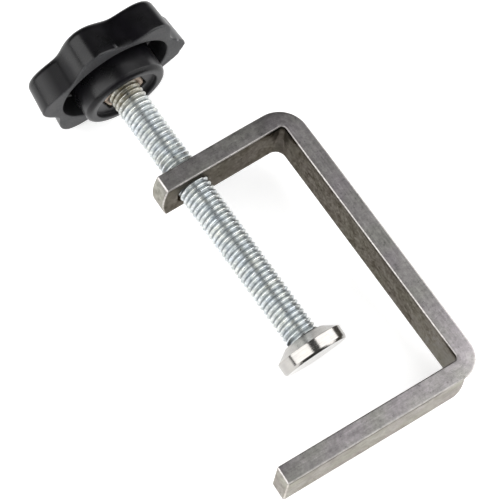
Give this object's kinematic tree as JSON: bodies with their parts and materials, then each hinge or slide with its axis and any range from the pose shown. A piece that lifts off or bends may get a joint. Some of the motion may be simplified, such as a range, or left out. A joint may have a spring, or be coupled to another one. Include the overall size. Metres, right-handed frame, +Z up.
{
  "type": "c clamp",
  "caption": "Small C clamp: bent flat-bar steel frame, zinc-plated clamping screw with a black star knob, and a swivelling round foot.",
  "frame": {"origin": "on the ground under the middle of the clamp's box, with the clamp lying on its side", "axes": "+Z up; +X along the arms towards the spine; +Y along the screw towards the knob, whose end is raised by 6.5 degrees because the clamp leans on a lobe of the knob"},
  "size_m": [0.0512, 0.1136, 0.0373],
  "materials": {
    "frame_steel": "mill finish, lengthwise grain, lightly oiled",
    "zinc_screw": "bright zinc plate",
    "spring_steel": "bright",
    "stainless": "turned and polished stainless",
    "black_plastic": "moulded, glossy, satin on the underside",
    "insert_steel": "bare steel with brown surface rust"
  },
  "bodies": {
    "frame": {"frame": "frame_steel"},
    "ring": {"retaining_ring": "spring_steel"},
    "spindle": {"screw": "zinc_screw", "knob": "black_plastic", "knob_insert": "insert_steel"},
    "foot": {"foot": "stainless"}
  },
  "joints": [
    {"name": "screw_travel", "type": "slide", "parent": "frame", "child": "ring", "axis": [0, 0.9936, 0.113], "range_m": [-0.016, 0.041]},
    {"name": "screw_turn", "type": "hinge", "parent": "ring", "child": "spindle", "pos_m": [-0.00245, -0.03028, 0.00942], "axis": [0, 0.9936, 0.113], "range_deg": [-4610, 11810]},
    {"name": "foot_tilt", "type": "hinge", "parent": "ring", "child": "foot", "pos_m": [-0.00245, -0.03028, 0.00942], "axis": [1, 0, 0], "range_deg": [-17, 1]}
  ],
  "couplings": [
    {"joint": "screw_turn", "follows": "screw_travel", "rad_per_m": 5026.5}
  ]
}
